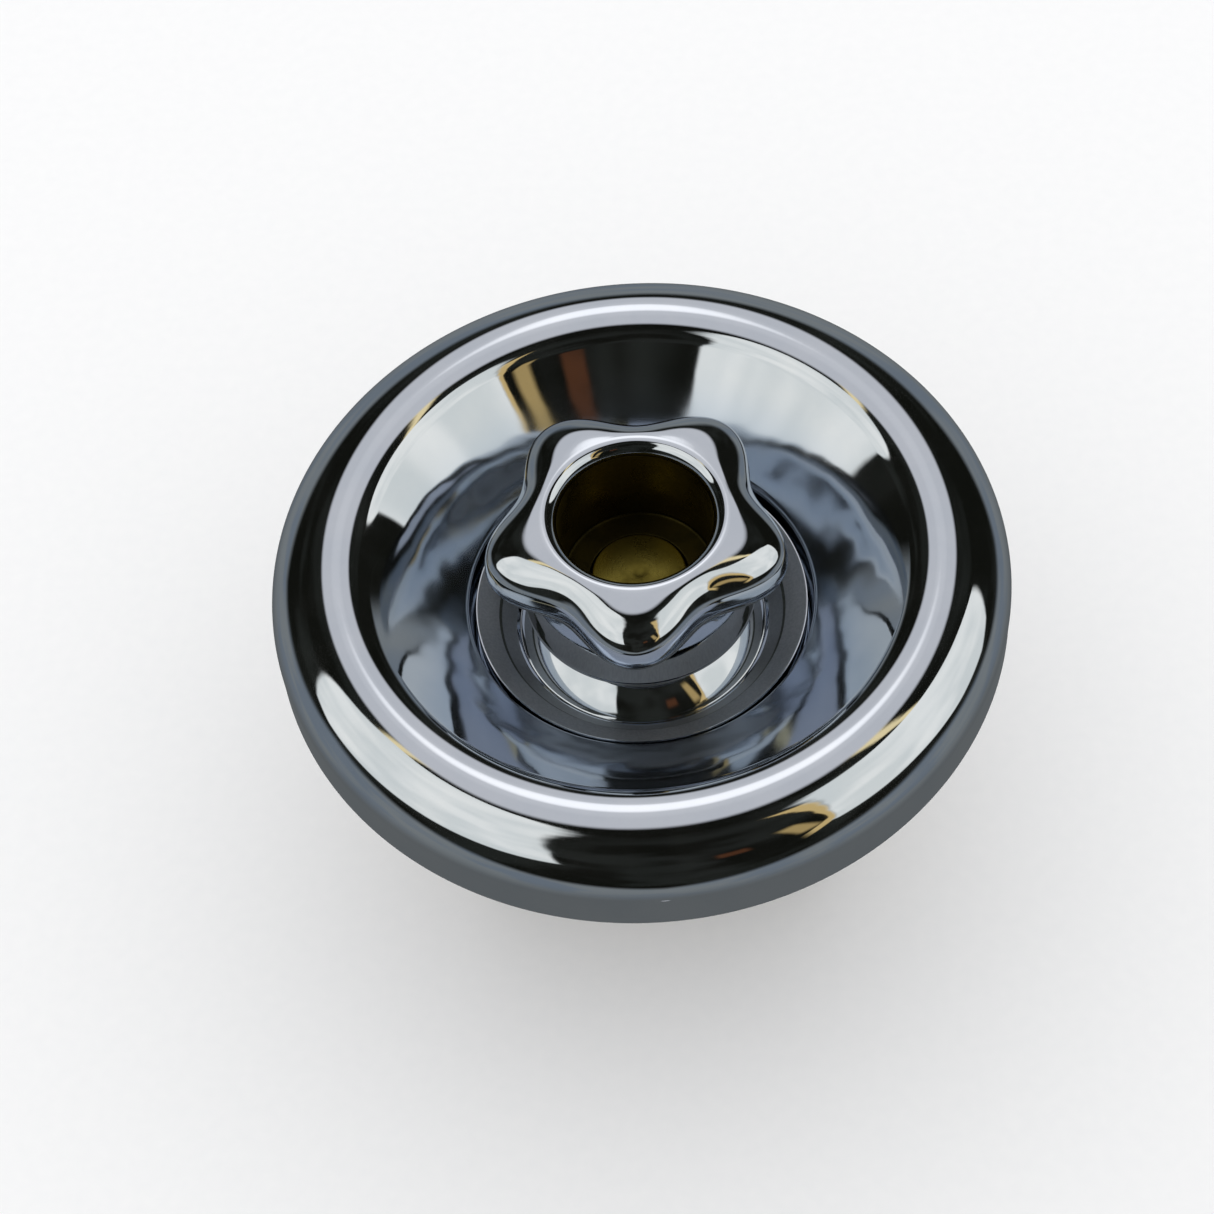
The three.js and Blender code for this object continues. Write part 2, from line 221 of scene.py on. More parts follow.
def hex_rows(flats, low, high, hole_r, corner=0.6, hole_rows=None):
    """Rows of a hexagon nut, chamfered at both rims, round a hole."""
    chamfer_r = flats / 2 * 0.985
    slope = math.tan(math.radians(28))

    def hex_r(angle):
        sector = math.pi / 3
        local = (angle + sector / 2) % sector - sector / 2
        corner_r = flats / math.sqrt(3) - corner
        return min(flats / 2 / math.cos(local), corner_r + corner * 0.3 * math.cos(3 * local))

    def side(z_end, sign, share):
        def row(angle):
            r = chamfer_r + (hex_r(angle) - chamfer_r) * share
            return (r, z_end - sign * max(0.0, r - chamfer_r) * slope)
        return row

    rows = [(chamfer_r * 0.97, low)]
    rows += [side(low, -1, s) for s in (0.0, 0.35, 0.7, 0.93, 1.0)]
    rows += [side(high, 1, s) for s in (1.0, 0.93, 0.7, 0.35, 0.0)]
    rows += [(chamfer_r * 0.97, high)]
    plain_hole = [(hole_r + 0.5, high), (hole_r, high - 0.5), (hole_r, low + 0.5), (hole_r + 0.5, low)]
    return rows + (hole_rows or plain_hole)


def boolean(target, cutter, operation):
    """Cuts or joins target with cutter, which is then removed."""
    modifier = target.modifiers.new("join", "BOOLEAN")
    modifier.operation = operation
    modifier.solver = "EXACT"
    modifier.object = cutter
    apply_modifiers(target)
    bpy.data.objects.remove(cutter)


def apply_modifiers(obj):
    """Replaces the object's mesh by what its modifiers make of it."""
    bpy.context.view_layer.update()
    evaluated = obj.evaluated_get(bpy.context.evaluated_depsgraph_get())
    mesh = bpy.data.meshes.new_from_object(evaluated)
    old = obj.data
    obj.modifiers.clear()
    obj.data = mesh
    mesh.name = obj.name
    bpy.data.meshes.remove(old)


def place(obj, node, body, material):
    """Rides the piece on its body in the place of the CAD node, and gives it its material."""
    obj.data.materials.clear()
    for one in material if isinstance(material, (list, tuple)) else [material]:
        obj.data.materials.append(one)
    if node in FINISH_AND_PAINTED_SHADE:
        for polygon in obj.data.polygons:
            x, y, z = polygon.center / MM
            polygon.material_index = int(FINISH_AND_PAINTED_SHADE[node](math.hypot(x, y), z - WALL_Z))
    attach(obj, body)
    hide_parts(node)


def in_bore(r, z):
    """Bare brass, darkened as painted shade, on the wall of the handle's bore (1) and darker painted shade
    on its floor (2).
    """
    if r > HANDLE_BORE_R + 0.25 or not HANDLE_FLOOR - 1.5 < z < BORE_BRASS_TOP:
        return 0
    return 2 if z < HANDLE_FLOOR + 0.5 else 1


def collar_face(r, z):
    """Blasted finish on the outer cone of the collar's washer (1); darker copies of it as painted shade on
    its inner cone (2) and its step (3).
    """
    if not SATIN_INNER_R < r < SATIN_OUTER_R or z < SATIN_LOW_Z:
        return 0
    if r > STEP_OUTER_R:
        return 1
    return 2 if r < STEP_INNER_R else 3


# Extra materials by radius and height: the collar's blasted finish, and painted shade in the collar's
# recess and the handle's bore.
FINISH_AND_PAINTED_SHADE = {"star_handle": in_bore, "retaining_collar": collar_face}


# ---- material helpers ----------------------------------------------------------------------
class Nodes:
    """Short ways to add and link shader nodes in one node tree."""

    def __init__(self, tree):
        self.tree = tree
        tree.nodes.clear()

    def add(self, kind, **settings):
        node = self.tree.nodes.new(kind)
        for key, value in settings.items():
            setattr(node, key, value)
        return node

    def link(self, source, target):
        if isinstance(source, (int, float)):
            target.default_value = source
        else:
            self.tree.links.new(source, target)

    def math(self, operation, a, b=0.0, c=None):
        node = self.add("ShaderNodeMath", operation=operation)
        for value, socket in zip((a, b, c), node.inputs):
            if value is not None:
                self.link(value, socket)
        return node.outputs[0]

    def step(self, value, low, high, start=0.0, end=1.0):
        """A smooth change from start at value = low to end at value = high."""
        node = self.add("ShaderNodeMapRange", interpolation_type="SMOOTHSTEP")
        self.link(value, node.inputs["Value"])
        node.inputs["From Min"].default_value = low
        node.inputs["From Max"].default_value = high
        node.inputs["To Min"].default_value = start
        node.inputs["To Max"].default_value = end
        return node.outputs["Result"]

    def curve(self, value, points):
        """Straight lines through points, which are pairs of numbers between 0 and 1."""
        node = self.add("ShaderNodeFloatCurve")
        line = node.mapping.curves[0]
        for x, y in points[2:]:
            line.points.new(x, y)
        for spot, point in zip(line.points, sorted(points)):
            spot.location = point
            spot.handle_type = "VECTOR"
        node.mapping.update()
        self.link(value, node.inputs["Value"])
        return node.outputs[0]

    def mix(self, factor, a, b):
        node = self.add("ShaderNodeMix", data_type="RGBA")
        self.link(factor, node.inputs["Factor"])
        for value, socket in ((a, node.inputs[6]), (b, node.inputs[7])):
            if isinstance(value, (tuple, list)):
                socket.default_value = (*value, 1.0)
            else:
                self.tree.links.new(value, socket)
        return node.outputs[2]

    def tint(self, factor, value, colour):
        """The value multiplied by colour where factor is 1, and left alone where it is 0."""
        node = self.add("ShaderNodeMix", data_type="RGBA", blend_type="MULTIPLY")
        self.link(factor, node.inputs["Factor"])
        self.link(value, node.inputs[6])
        node.inputs[7].default_value = (*colour, 1.0)
        return node.outputs[2]

    def coordinates(self):
        return self.add("ShaderNodeTexCoord").outputs["Object"]

    def noise(self, scale, detail=3.0, roughness=0.5, vector=None):
        node = self.add("ShaderNodeTexNoise")
        node.inputs["Scale"].default_value = scale
        node.inputs["Detail"].default_value = detail
        node.inputs["Roughness"].default_value = roughness
        self.tree.links.new(vector or self.coordinates(), node.inputs["Vector"])
        return node.outputs["Fac"]

    def stretched(self, scale):
        node = self.add("ShaderNodeMapping")
        node.inputs["Scale"].default_value = scale
        self.tree.links.new(self.coordinates(), node.inputs["Vector"])
        return node.outputs["Vector"]

    def radial(self):
        """(distance from the Z axis, height) of the shaded point."""
        split = self.add("ShaderNodeSeparateXYZ")
        self.tree.links.new(self.coordinates(), split.inputs[0])
        x, y, z = split.outputs
        squares = self.math("ADD", self.math("MULTIPLY", x, x), self.math("MULTIPLY", y, y))
        return self.math("SQRT", squares), z

    def bump(self, height, strength, distance):
        node = self.add("ShaderNodeBump")
        node.inputs["Strength"].default_value = strength
        node.inputs["Distance"].default_value = distance
        self.tree.links.new(height, node.inputs["Height"])
        return node.outputs["Normal"]


def surface(name, build, **sockets):
    """A material with a Principled shader; build(nodes, shader) adds what varies."""
    material = bpy.data.materials.new(name)
    material.use_nodes = True
    nodes = Nodes(material.node_tree)
    shader = nodes.add("ShaderNodeBsdfPrincipled")
    output = nodes.add("ShaderNodeOutputMaterial")
    for key, value in sockets.items():
        shader.inputs[key.replace("_", " ")].default_value = value
    build(nodes, shader)
    material.node_tree.links.new(shader.outputs[0], output.inputs["Surface"])
    return material


def chrome_material(name, waviness, dull_and_painted_blue_inside=None):
    """Bright plate: faint haze, hairline polishing marks and the soft swell of a pressed sheet.

    The last argument is (outer radius, inner radius) in mm: towards the inner one the plate gets duller
    and rippled, and a blue-grey painted reflection is mixed into its colour.
    """
    def build(nodes, shader):
        haze = nodes.noise(90.0, 4.0, 0.6)
        hairs = nodes.noise(1.0, 2.0, 0.5, nodes.stretched((2600.0, 2600.0, 300.0)))
        rough = nodes.math("ADD", nodes.step(haze, 0.35, 0.75, 0.028, 0.06),
                           nodes.step(hairs, 0.62, 0.8, 0.0, 0.03))
        if dull_and_painted_blue_inside:
            radius = nodes.radial()[0]
            depth = nodes.step(radius, dull_and_painted_blue_inside[1] * MM, dull_and_painted_blue_inside[0] * MM, 1.0, 0.0)
            rough = nodes.math("ADD", rough, nodes.math("MULTIPLY", depth, 0.07))
        nodes.link(rough, shader.inputs["Roughness"])
        tone = nodes.mix(nodes.step(haze, 0.3, 0.7), (0.77, 0.79, 0.82), (0.82, 0.83, 0.85))
        if dull_and_painted_blue_inside:
            # painted reflection: the colour turns blue-grey towards the inner radius
            tone = nodes.mix(depth, tone, (0.66, 0.71, 0.79))
        nodes.link(tone, shader.inputs["Base Color"])
        swell = nodes.noise(55.0, 1.0, 0.4)
        grain = nodes.noise(900.0, 2.0, 0.5)
        height = nodes.math("ADD", swell, nodes.math("MULTIPLY", grain, 0.02))
        if dull_and_painted_blue_inside:
            share = nodes.math("MULTIPLY", depth, 4.0)
            ripples = nodes.math("MULTIPLY", nodes.noise(130.0, 1.0, 0.4), share)
            height = nodes.math("ADD", height, ripples)
        nodes.link(nodes.bump(height, 1.0, waviness), shader.inputs["Normal"])
    return surface(name, build, Metallic=1.0)


def satin_material(name, light, dark):
    """Blasted and plated ring face: even, without mirror images."""
    def build(nodes, shader):
        grain = nodes.noise(2600.0, 2.0, 0.5)
        drift = nodes.noise(120.0, 3.0, 0.5)
        nodes.link(nodes.step(drift, 0.3, 0.7, 0.42, 0.5), shader.inputs["Roughness"])
        tone = nodes.mix(nodes.step(grain, 0.3, 0.7), dark, light)
        nodes.link(tone, shader.inputs["Base Color"])
        nodes.link(nodes.bump(grain, 0.4, 0.00001), shader.inputs["Normal"])
    return surface(name, build, Metallic=1.0)


def turned_brass_material(name, bright, dark, rough):
    """Machined brass: rings left by the tool, dulled in patches."""
    def build(nodes, shader):
        radius, height = nodes.radial()
        along = nodes.math("ADD", radius, height)
        comb = nodes.add("ShaderNodeCombineXYZ")
        nodes.link(along, comb.inputs[0])
        nodes.link(nodes.math("SUBTRACT", radius, height), comb.inputs[1])
        rings = nodes.noise(5200.0, 2.0, 0.6, comb.outputs[0])
        patches = nodes.noise(240.0, 5.0, 0.6)
        tone = nodes.mix(nodes.step(patches, 0.35, 0.7), bright, dark)
        nodes.link(tone, shader.inputs["Base Color"])
        nodes.link(nodes.math("ADD", nodes.step(patches, 0.3, 0.7, rough, rough + 0.14),
                              nodes.math("MULTIPLY", rings, 0.08)), shader.inputs["Roughness"])
        nodes.link(nodes.bump(rings, 0.5, 0.00002), shader.inputs["Normal"])
    return surface(name, build, Metallic=1.0)


def cast_brass_material():
    """Sand casting: grainy skin with darker oxide in the hollows."""
    def build(nodes, shader):
        grain = nodes.noise(1500.0, 4.0, 0.65)
        lumps = nodes.noise(260.0, 4.0, 0.55)
        stain = nodes.noise(120.0, 5.0, 0.65)
        tone = nodes.mix(nodes.step(stain, 0.35, 0.68), (0.74, 0.55, 0.26), (0.5, 0.35, 0.15))
        tone = nodes.mix(nodes.step(grain, 0.55, 0.75, 0.0, 0.45), tone, (0.28, 0.18, 0.08))
        nodes.link(tone, shader.inputs["Base Color"])
        nodes.link(nodes.step(grain, 0.3, 0.7, 0.38, 0.62), shader.inputs["Roughness"])
        height = nodes.math("ADD", nodes.math("MULTIPLY", grain, 0.45), lumps)
        nodes.link(nodes.bump(height, 0.8, 0.00016), shader.inputs["Normal"])
    return surface("cast_brass", build, Metallic=1.0)


def steel_material():
    """Drawn wire: fine streaks that run level, along the ring."""
    def build(nodes, shader):
        draw = nodes.noise(1.0, 3.0, 0.5, nodes.stretched((900.0, 900.0, 6000.0)))
        nodes.link(nodes.step(draw, 0.3, 0.7, 0.18, 0.34), shader.inputs["Roughness"])
        nodes.link(nodes.mix(draw, (0.46, 0.47, 0.49), (0.62, 0.63, 0.65)), shader.inputs["Base Color"])
    return surface("spring_steel", build, Metallic=1.0)


def soft_material(name, light, dark, scale, rough, depth):
    """Rubber, foam, fibre or packing: a fine mottled skin with a matt finish."""
    def build(nodes, shader):
        grain = nodes.noise(scale, 5.0, 0.65)
        broad = nodes.noise(scale * 0.12, 3.0, 0.5)
        nodes.link(nodes.mix(nodes.step(grain, 0.35, 0.7), dark, light), shader.inputs["Base Color"])
        nodes.link(nodes.step(broad, 0.3, 0.7, rough - 0.08, rough + 0.08), shader.inputs["Roughness"])
        nodes.link(nodes.bump(grain, 0.7, depth), shader.inputs["Normal"])
    return surface(name, build)


CHROME = chrome_material("chrome_turned", 0.00004)
CHROME_SHEET = chrome_material("chrome_sheet", 0.00004, (38.0, 30.0))
CHROME_CAST = chrome_material("chrome_casting", 0.00006)
SATIN = satin_material("satin_ring", (0.48, 0.495, 0.51), (0.41, 0.425, 0.44))
# painted shade: a darker copy of the satin for the washer's inner cone, under the handle
SATIN_PAINTED_SHADE = satin_material("satin_painted_shade", (0.36, 0.375, 0.385), (0.31, 0.325, 0.335))
# painted shade: a near-black copy of the satin for the crease between the cones
STEP_PAINTED_SHADE = satin_material("step_painted_shade", (0.1, 0.105, 0.085), (0.07, 0.075, 0.06))
BRASS = turned_brass_material("turned_brass", (0.86, 0.66, 0.3), (0.64, 0.46, 0.18), 0.2)
# painted shade: brass darkened for the deep bore of the handle and the socket's end
BORE_BRASS_PAINTED_SHADE = turned_brass_material("bore_brass_painted_shade", (0.26, 0.2, 0.038), (0.16, 0.12, 0.02), 0.2)
# painted shade: brass darker still for the floor of the handle's bore
BORE_FLOOR_PAINTED_SHADE = turned_brass_material(
    "bore_floor_painted_shade", (0.05, 0.038, 0.01), (0.03, 0.024, 0.008), 0.35)
CAST_BRASS = cast_brass_material()
STEEL = steel_material()
RUBBER = soft_material(
    "nitrile_rubber", (0.035, 0.035, 0.038), (0.012, 0.012, 0.013), 1600.0, 0.55, 0.00003)
FOAM = soft_material("foam_rubber", (0.06, 0.06, 0.063), (0.012, 0.012, 0.014), 1100.0, 0.9, 0.0003)
FIBRE = soft_material("red_fibre", (0.36, 0.075, 0.04), (0.2, 0.03, 0.018), 900.0, 0.72, 0.00006)
PACKING = soft_material("gland_packing_yarn", (0.78, 0.77, 0.7), (0.5, 0.49, 0.43), 700.0, 0.65, 0.0002)


# ---- trim ----------------------------------------------------------------------------------
def dish_outline():
    """Flange section, from the outer foot over the rim to the well and back underneath."""
    inner = (6.5, 3.2)
    outer = (FLANGE_R - 0.05 - CREST_R, 7.1)
    shoulder_z = CREST_Z - outer[1]
    inner_z = CREST_Z - inner[1]
    slope = math.tan(math.radians(DISH_SLOPE))
    cone_top = 180.0 - math.degrees(math.atan(inner[1] / (inner[0] * slope)))
    mouth_r = WELL_R + 1.4
    lip_run = 1.2                                  # from the mouth to where the lip starts to round
    flat_r = 24.0                                  # a point on the flat floor of the well
    top = [(FLANGE_R, 0.25), (FLANGE_R - 0.02, 1.0), (FLANGE_R - 0.06, 3.0)]
    top += arc(CREST_R, shoulder_z, *outer, 0, 90, 40)
    top += arc(CREST_R, inner_z, *inner, 90, cone_top, 24)[1:]
    cone_r, cone_z = top[-1]
    mouth_z = cone_z - (cone_r - mouth_r) * slope
    for share in (0.25, 0.5, 0.75):
        down = (cone_r - mouth_r - lip_run) * slope * share
        top.append((cone_r + (mouth_r + lip_run - cone_r) * share, cone_z - down))
    top += rounded([
        (mouth_r + lip_run, mouth_z + lip_run * slope),
        (WELL_R + 0.25, mouth_z - 0.7, 1.6),
        (WELL_R, mouth_z - 4.0),
    ], 1.6, 8, closed=False)
    top += rounded([(WELL_R, -6.0), (WELL_R, WELL_Z, 0.6), (flat_r, WELL_Z)], 0.6, 5, closed=False)
    top += [(FLANGE_HOLE_R, WELL_Z)]
    under = [(FLANGE_HOLE_R, WELL_Z - SHEET)]
    under += rounded([
        (flat_r, WELL_Z - SHEET),
        (WELL_R + SHEET, WELL_Z - SHEET, 1.5),
        (WELL_R + SHEET, mouth_z - 4.0),
    ], 1.5, 6, closed=False)
    under += rounded([
        (WELL_R + SHEET, mouth_z - 3.4),
        (WELL_R + SHEET + 0.1, mouth_z - 1.7, 1.5),
        (mouth_r + SHEET + 2.0, mouth_z - 1.0 + 2.0 * slope * 0.9),
    ], 1.5, 5, closed=False)
    under += arc(CREST_R, inner_z, inner[0] - SHEET, inner[1] - SHEET, cone_top, 90, 12)
    under += arc(CREST_R, shoulder_z, outer[0] - SHEET, outer[1] - SHEET, 90, 0, 20)[1:]
    under += [(FLANGE_R - SHEET, 0.25), (FLANGE_R - SHEET + 0.25, 0.0), (FLANGE_R - 0.25, 0.0)]
    return top + under


def make_flange():
    return loft("dish_flange_shell", dish_outline(), 320)


def collar_outline():
    """Collar section: washer face, domed boss, neck inside the handle's skirt, threaded bore."""
    under = WELL_Z + 0.3
    bore_r = 13.3
    thread_depth = 0.55
    face = rounded([
        (14.2, under), (WASHER_R, under, 0.2), (WASHER_R, -0.8, 0.3),
        (21.75, -3.1, 0.12), (21.4, -3.65, 0.12),
        (19.3, -5.7, 0.3), (18.75, -6.2, 0.2), (18.55, -6.12),
    ], 0.25, 4, closed=False)
    boss = arc(3.8, -22.45, 22.0, 22.0, 48, 61.5, 14)
    neck = [
        (14.22, -2.95), (14.2, -2.7), (14.2, 1.3), (14.1, 1.52), (13.9, 1.6), (13.6, 1.58), (13.5, 1.4),
    ]
    inside = [(13.5, -6.9), (13.75, -7.4)]
    inside += thread_rows(bore_r + thread_depth, thread_depth, -14.7, -7.6, COLLAR_PITCH, inward=True)[::-1]
    foot = [(13.7, -15.0), (13.9, -15.0), (14.2, -14.7)]
    return face + boss + neck + inside + foot


def make_collar():
    return loft("retaining_collar_turned", collar_outline(), 192)


def make_carrier_sleeve():
    rows = [(9.9, -17.1), (10.2, -17.5), (12.2, -17.5)]
    rows += thread_rows(13.0, 0.5, -17.3, -9.2, COLLAR_PITCH)
    rows += [(12.2, -9.0), (10.2, -9.0), (9.9, -9.4)]
    return loft("carrier_sleeve_threaded", rows, 96)


def handle_rows():
    """Rows of the handle: each is a share between its valley section and its lobe section."""
    crown = spline([
        (13.9, 21.48, 13.9, 21.48),
        (14.7, 21.33, 15.6, 21.38),
        (15.6, 20.95, 17.6, 21.1),
        (16.5, 20.35, 19.3, 20.65),
        (17.2, 19.65, 20.6, 20.15),
        (17.7, 19.0, 21.6, 19.5),
        (17.98, 18.3, 22.25, 18.7),
        (18.12, 17.2, 22.6, 17.5),
        (18.15, 15.9, 22.75, 16.0),
        (17.95, 14.8, 22.5, 14.75),
        (17.4, 13.9, 21.7, 13.8),
        (16.7, 13.1, 20.2, 13.1),
        (16.2, 12.3, 18.4, 12.4),
        (16.05, 11.5, 17.0, 11.4),
        (16.3, 10.4, 16.5, 10.2),
        (16.7, 9.0, 16.7, 9.0),
    ], 5)
    bell = spline([(16.74, 8.7), (16.95, 6.6), (17.12, 4.6), (17.32, 2.85)], 6)
    skirt = rounded([
        (17.35, 2.75), (17.5, 2.35, 0.12), (17.1, 2.15, 0.15), (16.5, 2.6),
    ], 0.15, 3, closed=False)
    hub = rounded([
        (15.2, 3.3), (10.4, 3.3, 0.8), (9.5, 0.1, 0.3),
        (HUB_HOLE_R, 0.0, 0.2), (HUB_HOLE_R, HANDLE_FLOOR, 0.3),
        (HANDLE_BORE_R, HANDLE_FLOOR, 0.5), (HANDLE_BORE_R, HANDLE_LIP_Z - 0.4),
    ], 0.4, 5, closed=False)
    lip = arc(HANDLE_BORE_R + 2.0, HANDLE_LIP_Z, 2.0, HANDLE_TOP - HANDLE_LIP_Z, 180, 96, 14)
    flat = [(r, z, r, z) for r, z in lip]
    lower = [(r, z, r, z) for r, z in bell + skirt + hub]

    def row(valley_r, valley_z, tip_r, tip_z):
        def at(angle):
            share = 0.5 + 0.5 * math.cos(LOBES * angle)
            return (valley_r + share * (tip_r - valley_r), valley_z + share * (tip_z - valley_z))
        return at

    return [row(*point) for point in flat + crown + lower]


def make_handle():
    return loft("star_handle_casting", handle_rows(), 360)


def make_socket():
    """Closed brass socket with internal splines; its flat end shows in the handle's bore."""
    def toothed(z):
        def at(angle):
            return (4.25 + 0.3 * max(0.0, math.cos(20 * angle)), z)
        return at

    rows = [(0, 4.0), toothed(4.0), toothed(2.05), (4.8, 2.05), (4.8, 0.85), toothed(0.85)]
    rows += [toothed(-1.6), (4.6, -1.9), (6.9, -1.9), (7.1, -1.7)]
    rows += rounded([(7.1, 4.0), (7.1, 6.1, 0.35), (2.0, 6.1)], 0.35, 5, closed=False)
    rows += [(1.2, 6.1), (0.7, 6.02), (0, 5.95)]
    return loft("spline_socket_turned", rows, 160)


def make_snap_ring():
    """Round-wire ring with a mouth, between the grooves of the spindle and the socket."""
    wire = 0.29
    ring_r = 4.0
    ring_z = WALL_Z + 1.45
    mouth = math.radians(25)
    steps = 60
    sides = 12
    bm = bmesh.new()
    rings = []
    for i in range(steps + 1):
        angle = mouth + (TURN - 2 * mouth) * i / steps
        ring = []
        for k in range(sides):
            around = TURN * k / sides
            r = ring_r + wire * 1.6 * math.cos(around)
            z = ring_z + wire * math.sin(around)
            ring.append(bm.verts.new((r * math.cos(angle) * MM, r * math.sin(angle) * MM, z * MM)))
        rings.append(ring)
    for low, high in zip(rings, rings[1:]):
        for k in range(sides):
            j = (k + 1) % sides
            bm.faces.new((low[k], low[j], high[j], high[k]))
    bm.faces.new(rings[0])
    bm.faces.new(rings[-1])
    return mesh_object("handle_snap_ring_wire", bm)


def make_spindle():
    groove_r = 3.03
    rows = [(0, -24.0), (3.3, -24.6), (3.3, -37.6), (3.6, -37.9), (5.2, -37.9)]
    rows += thread_rows(6.0, 0.9, -37.7, -28.1, SPINDLE_PITCH, per_pitch=14)
    rows += [(5.0, -28.0), (4.1, -27.6)]
    for z in O_RING_Z.values():
        rows += [(4.1, z - 0.72), (groove_r, z - 0.7), (groove_r, z + 0.7), (4.1, z + 0.72)]
    rows += [(4.1, -2.6), (3.6, -2.3)]

    root_r = 3.55
    tooth = 0.35

    def toothed(z):
        def at(angle):
            return (root_r + tooth * max(0.0, min(1.0, 0.5 + 1.2 * math.cos(20 * angle))), z)
        return at

    rows += [toothed(-2.0), toothed(0.8), (3.2, 0.85), (3.2, 2.05), toothed(2.1), toothed(3.2)]
    rows += [(3.45, 3.7), (0, 3.7)]
    return loft("spindle_threaded", rows, 160)


def make_o_ring(name, z):
    return loft(name, arc(3.75, z, 0.42, 0.42, 0, 345, 23), 64)


# ---- jumper --------------------------------------------------------------------------------
def make_jumper():
    rows = [(0, -45.6), (1.3, -45.6), (1.5, -45.4), (1.5, -40.4)]
    rows += rounded([
        (1.6, -40.4), (7.2, -40.4, 0.2), (7.2, -38.6, 0.2), (6.8, -38.2, 0.2),
        (3.6, -38.2, 0.1), (3.0, -37.6, 0.4), (3.0, -30.0),
    ], 0.2, 4, closed=False)
    rows += rounded([
        (3.0, -28.0), (3.0, -25.3, 0.4), (2.5, -24.9, 0.3), (1.0, -24.9),
    ], 0.3, 4, closed=False)
    rows += [(0, -24.9)]
    return loft("jumper_valve_turned", rows, 96)


def make_jumper_washer():
    rows = rounded([(1.8, -42.9), (6.8, -42.9, 0.4), (6.8, -40.7, 0.3), (1.8, -40.7)], 0.2, 5)
    return loft("jumper_washer_moulded", rows, 96)


def make_jumper_nut():
    return loft("jumper_nut_hex", hex_rows(5.5, -45.2, -43.2, 1.8, corner=0.15), 96)


# ---- bonnet and gland ----------------------------------------------------------------------
def make_bonnet():
    inner = thread_rows(7.0, 0.7, -32.5, -22.6, SPINDLE_PITCH, inward=True, per_pitch=12)[::-1]
    bore = [(7.0, -5.2), (7.0, -12.0), (4.4, -12.0), (4.4, -22.5)]
    foot = [(7.2, -32.8), (9.0, -32.8)]
    outside = thread_rows(10.2, 0.7, -32.6, -26.9, 1.6)
    undercut = [(9.4, -26.7), (9.4, -25.6), (13.4, -25.2)]
    nut = hex_rows(27.0, -25.2, -18.0, 9.0)
    hexagon = nut[1:-5]
    barrel = [(11.0, -18.0), (9.7, -17.9), (9.5, -17.6), (9.5, -9.2)]
    top_thread = thread_rows(9.5, 0.5, -9.0, -5.5, GLAND_PITCH)
    rows = foot + outside + undercut + hexagon + barrel + top_thread
    rows += [(9.0, -5.2), (8.8, -5.0), (7.2, -5.0)] + bore + inner
    return loft("bonnet_turned", rows, 192)


def make_bonnet_washer():
    rows = rounded([(10.5, -26.7), (13.3, -26.7), (13.3, -25.5), (10.5, -25.5)], 0.2, 3)
    return loft("bonnet_washer_fibre", rows, 128)


def make_gland_packing():
    """Three turns of square braided yarn pressed together."""
    outer_r = 6.7
    side = 1.13
    braid = 0.05
    rows = []
    outer = []
    for k in range(3):
        low = -11.7 + k * side
        outer += rounded([
            (5.5, low), (outer_r, low, 0.35), (outer_r, low + side, 0.35), (5.5, low + side),
        ], 0.35, 3, closed=False)[1:-1]
    for r, z in outer:
        def row(angle, r=r, z=z):
            return (min(outer_r, r - braid + braid * math.cos(36 * angle + 9 * z)), z)
        rows.append(row)
    rows += [(4.5, -8.3), (4.4, -8.4), (4.4, -11.6), (4.5, -11.7)]
    return loft("gland_packing_braid", rows, 216)


def make_gland_follower():
    rows = rounded([(4.4, -8.0), (6.7, -8.0), (6.7, -4.5), (4.4, -4.5)], 0.25, 4)
    return loft("gland_follower_turned", rows, 96)


def make_gland_nut():
    hole = [(4.8, -2.2), (4.4, -2.6), (4.4, -3.9), (4.7, -4.2), (9.8, -4.2)]
    hole += thread_rows(10.2, 0.4, -8.3, -4.6, GLAND_PITCH, inward=True)[::-1]
    hole += [(10.3, -8.6)]
    return loft("gland_nut_hex", hex_rows(22.0, -8.6, -2.2, 4.4, hole_rows=hole, corner=0.5), 192)


# ---- body and pipe connections -------------------------------------------------------------
def along_x(z, side=1):
    """Turns a loft made about Z at base 0 to lie at height z, its +Z towards +X (side 1) or -X (-1)."""
    return Matrix.Translation((0, 0, (WALL_Z + z) * MM)) @ Matrix.Rotation(side * math.pi / 2, 4, "Y")


